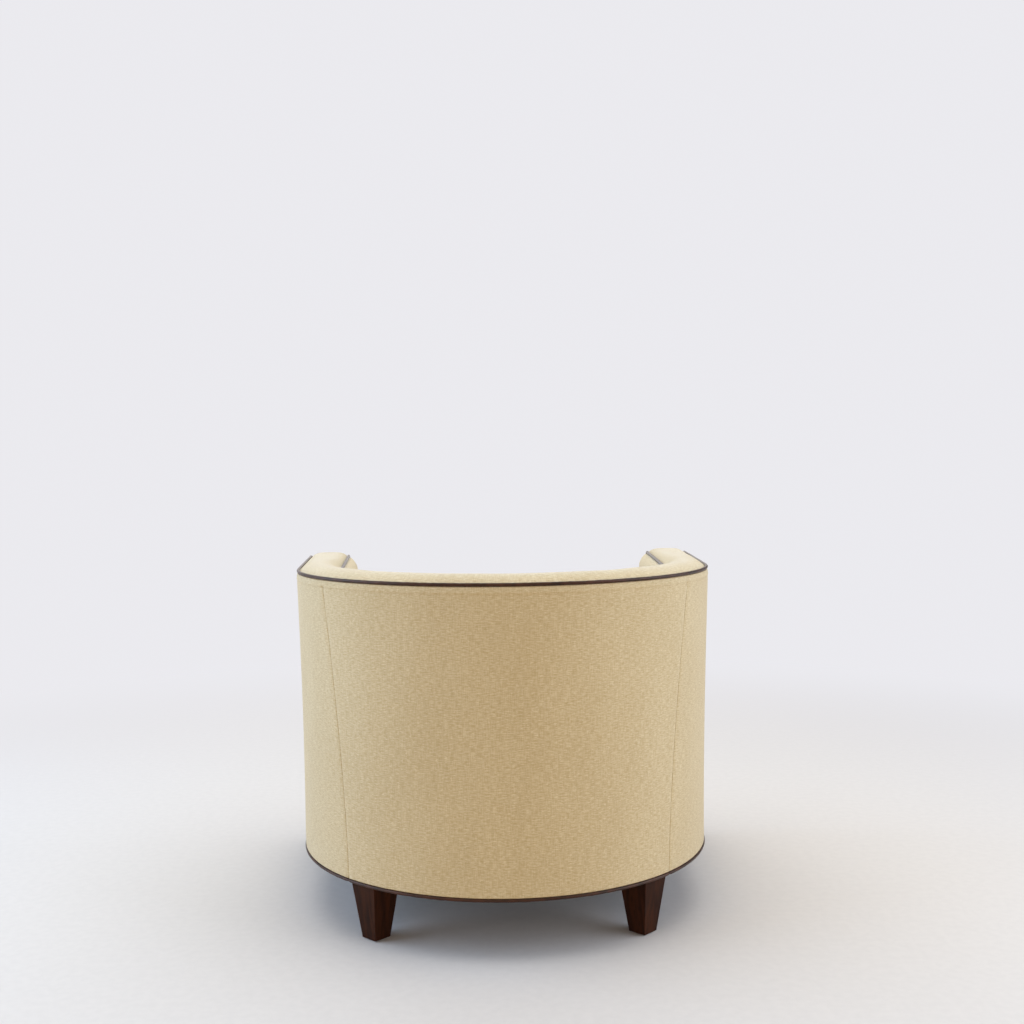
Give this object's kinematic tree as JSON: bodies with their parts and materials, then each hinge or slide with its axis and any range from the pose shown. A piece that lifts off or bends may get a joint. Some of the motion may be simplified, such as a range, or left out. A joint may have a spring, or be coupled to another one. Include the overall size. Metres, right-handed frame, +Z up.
{
  "type": "lounge chair",
  "caption": "Low upholstered tub chair: curved back running into straight padded arms, leather piping, tapered wooden legs and a loose seat cushion that lifts out.",
  "frame": {"origin": "on the floor, at the middle of the chair's width and depth", "axes": "+Z up, the chair faces -Y with its back at +Y, +X is the sitter's left"},
  "size_m": [0.8542, 0.7801, 0.661],
  "materials": {
    "linen": "slubby woven linen",
    "leather": "glossy dark brown",
    "walnut": "dark stain, satin lacquer",
    "beech": "bare planed",
    "plywood": "bare",
    "foam": "open-cell foam",
    "wadding": "polyester wadding",
    "board": "pressed card",
    "hessian": "open weave",
    "webbing": "elastic webbing",
    "dust_cloth": "thin black nonwoven",
    "steel": "zinc plated",
    "nylon": "black nylon"
  },
  "bodies": {
    "tub": {"front_rail": "beech", "back_rail": "beech", "left_side_rail": "beech", "right_side_rail": "beech", "left_front_post": "beech", "right_front_post": "beech", "uprights": "beech", "back_rim": "plywood", "left_arm_rim": "plywood", "right_arm_rim": "plywood", "seat_brace": "beech", "front_leg_blocks": "beech", "rear_leg_blocks": "beech", "front_left_leg": "walnut", "front_right_leg": "walnut", "rear_left_leg": "walnut", "rear_right_leg": "walnut", "leg_glides": "nylon", "hanger_bolts": "steel", "tee_nuts": "steel", "long_webbing": "webbing", "cross_webbing": "webbing", "deck_pad": "foam", "deck_cover": "linen", "inside_hessian": "hessian", "inside_back_pad": "foam", "inside_left_pad": "foam", "inside_right_pad": "foam", "inside_back_cover": "linen", "inside_left_cover": "linen", "inside_right_cover": "linen", "back_top_pad": "foam", "left_arm_pad": "foam", "right_arm_pad": "foam", "top_border_cover": "linen", "outer_top_piping": "leather", "inner_top_piping": "leather", "outside_back_board": "board", "outside_left_board": "board", "outside_right_board": "board", "outside_back_wadding": "wadding", "outside_left_wadding": "wadding", "outside_right_wadding": "wadding", "outside_back_cover": "linen", "outside_left_cover": "linen", "outside_right_cover": "linen", "edge_strip": "board", "front_wadding": "wadding", "front_border_cover": "linen", "back_base_piping": "leather", "left_base_piping": "leather", "right_base_piping": "leather", "front_base_piping": "leather", "dust_cover": "dust_cloth"},
    "seat_cushion": {"cushion_core": "foam", "cushion_top_cover": "linen", "cushion_border": "linen", "cushion_bottom_cover": "linen", "cushion_piping": "leather"}
  },
  "joints": [
    {"name": "seat_cushion_lift", "type": "slide", "parent": "tub", "child": "seat_cushion", "axis": [0, 0, 1], "range_m": [0, 0.37]}
  ]
}
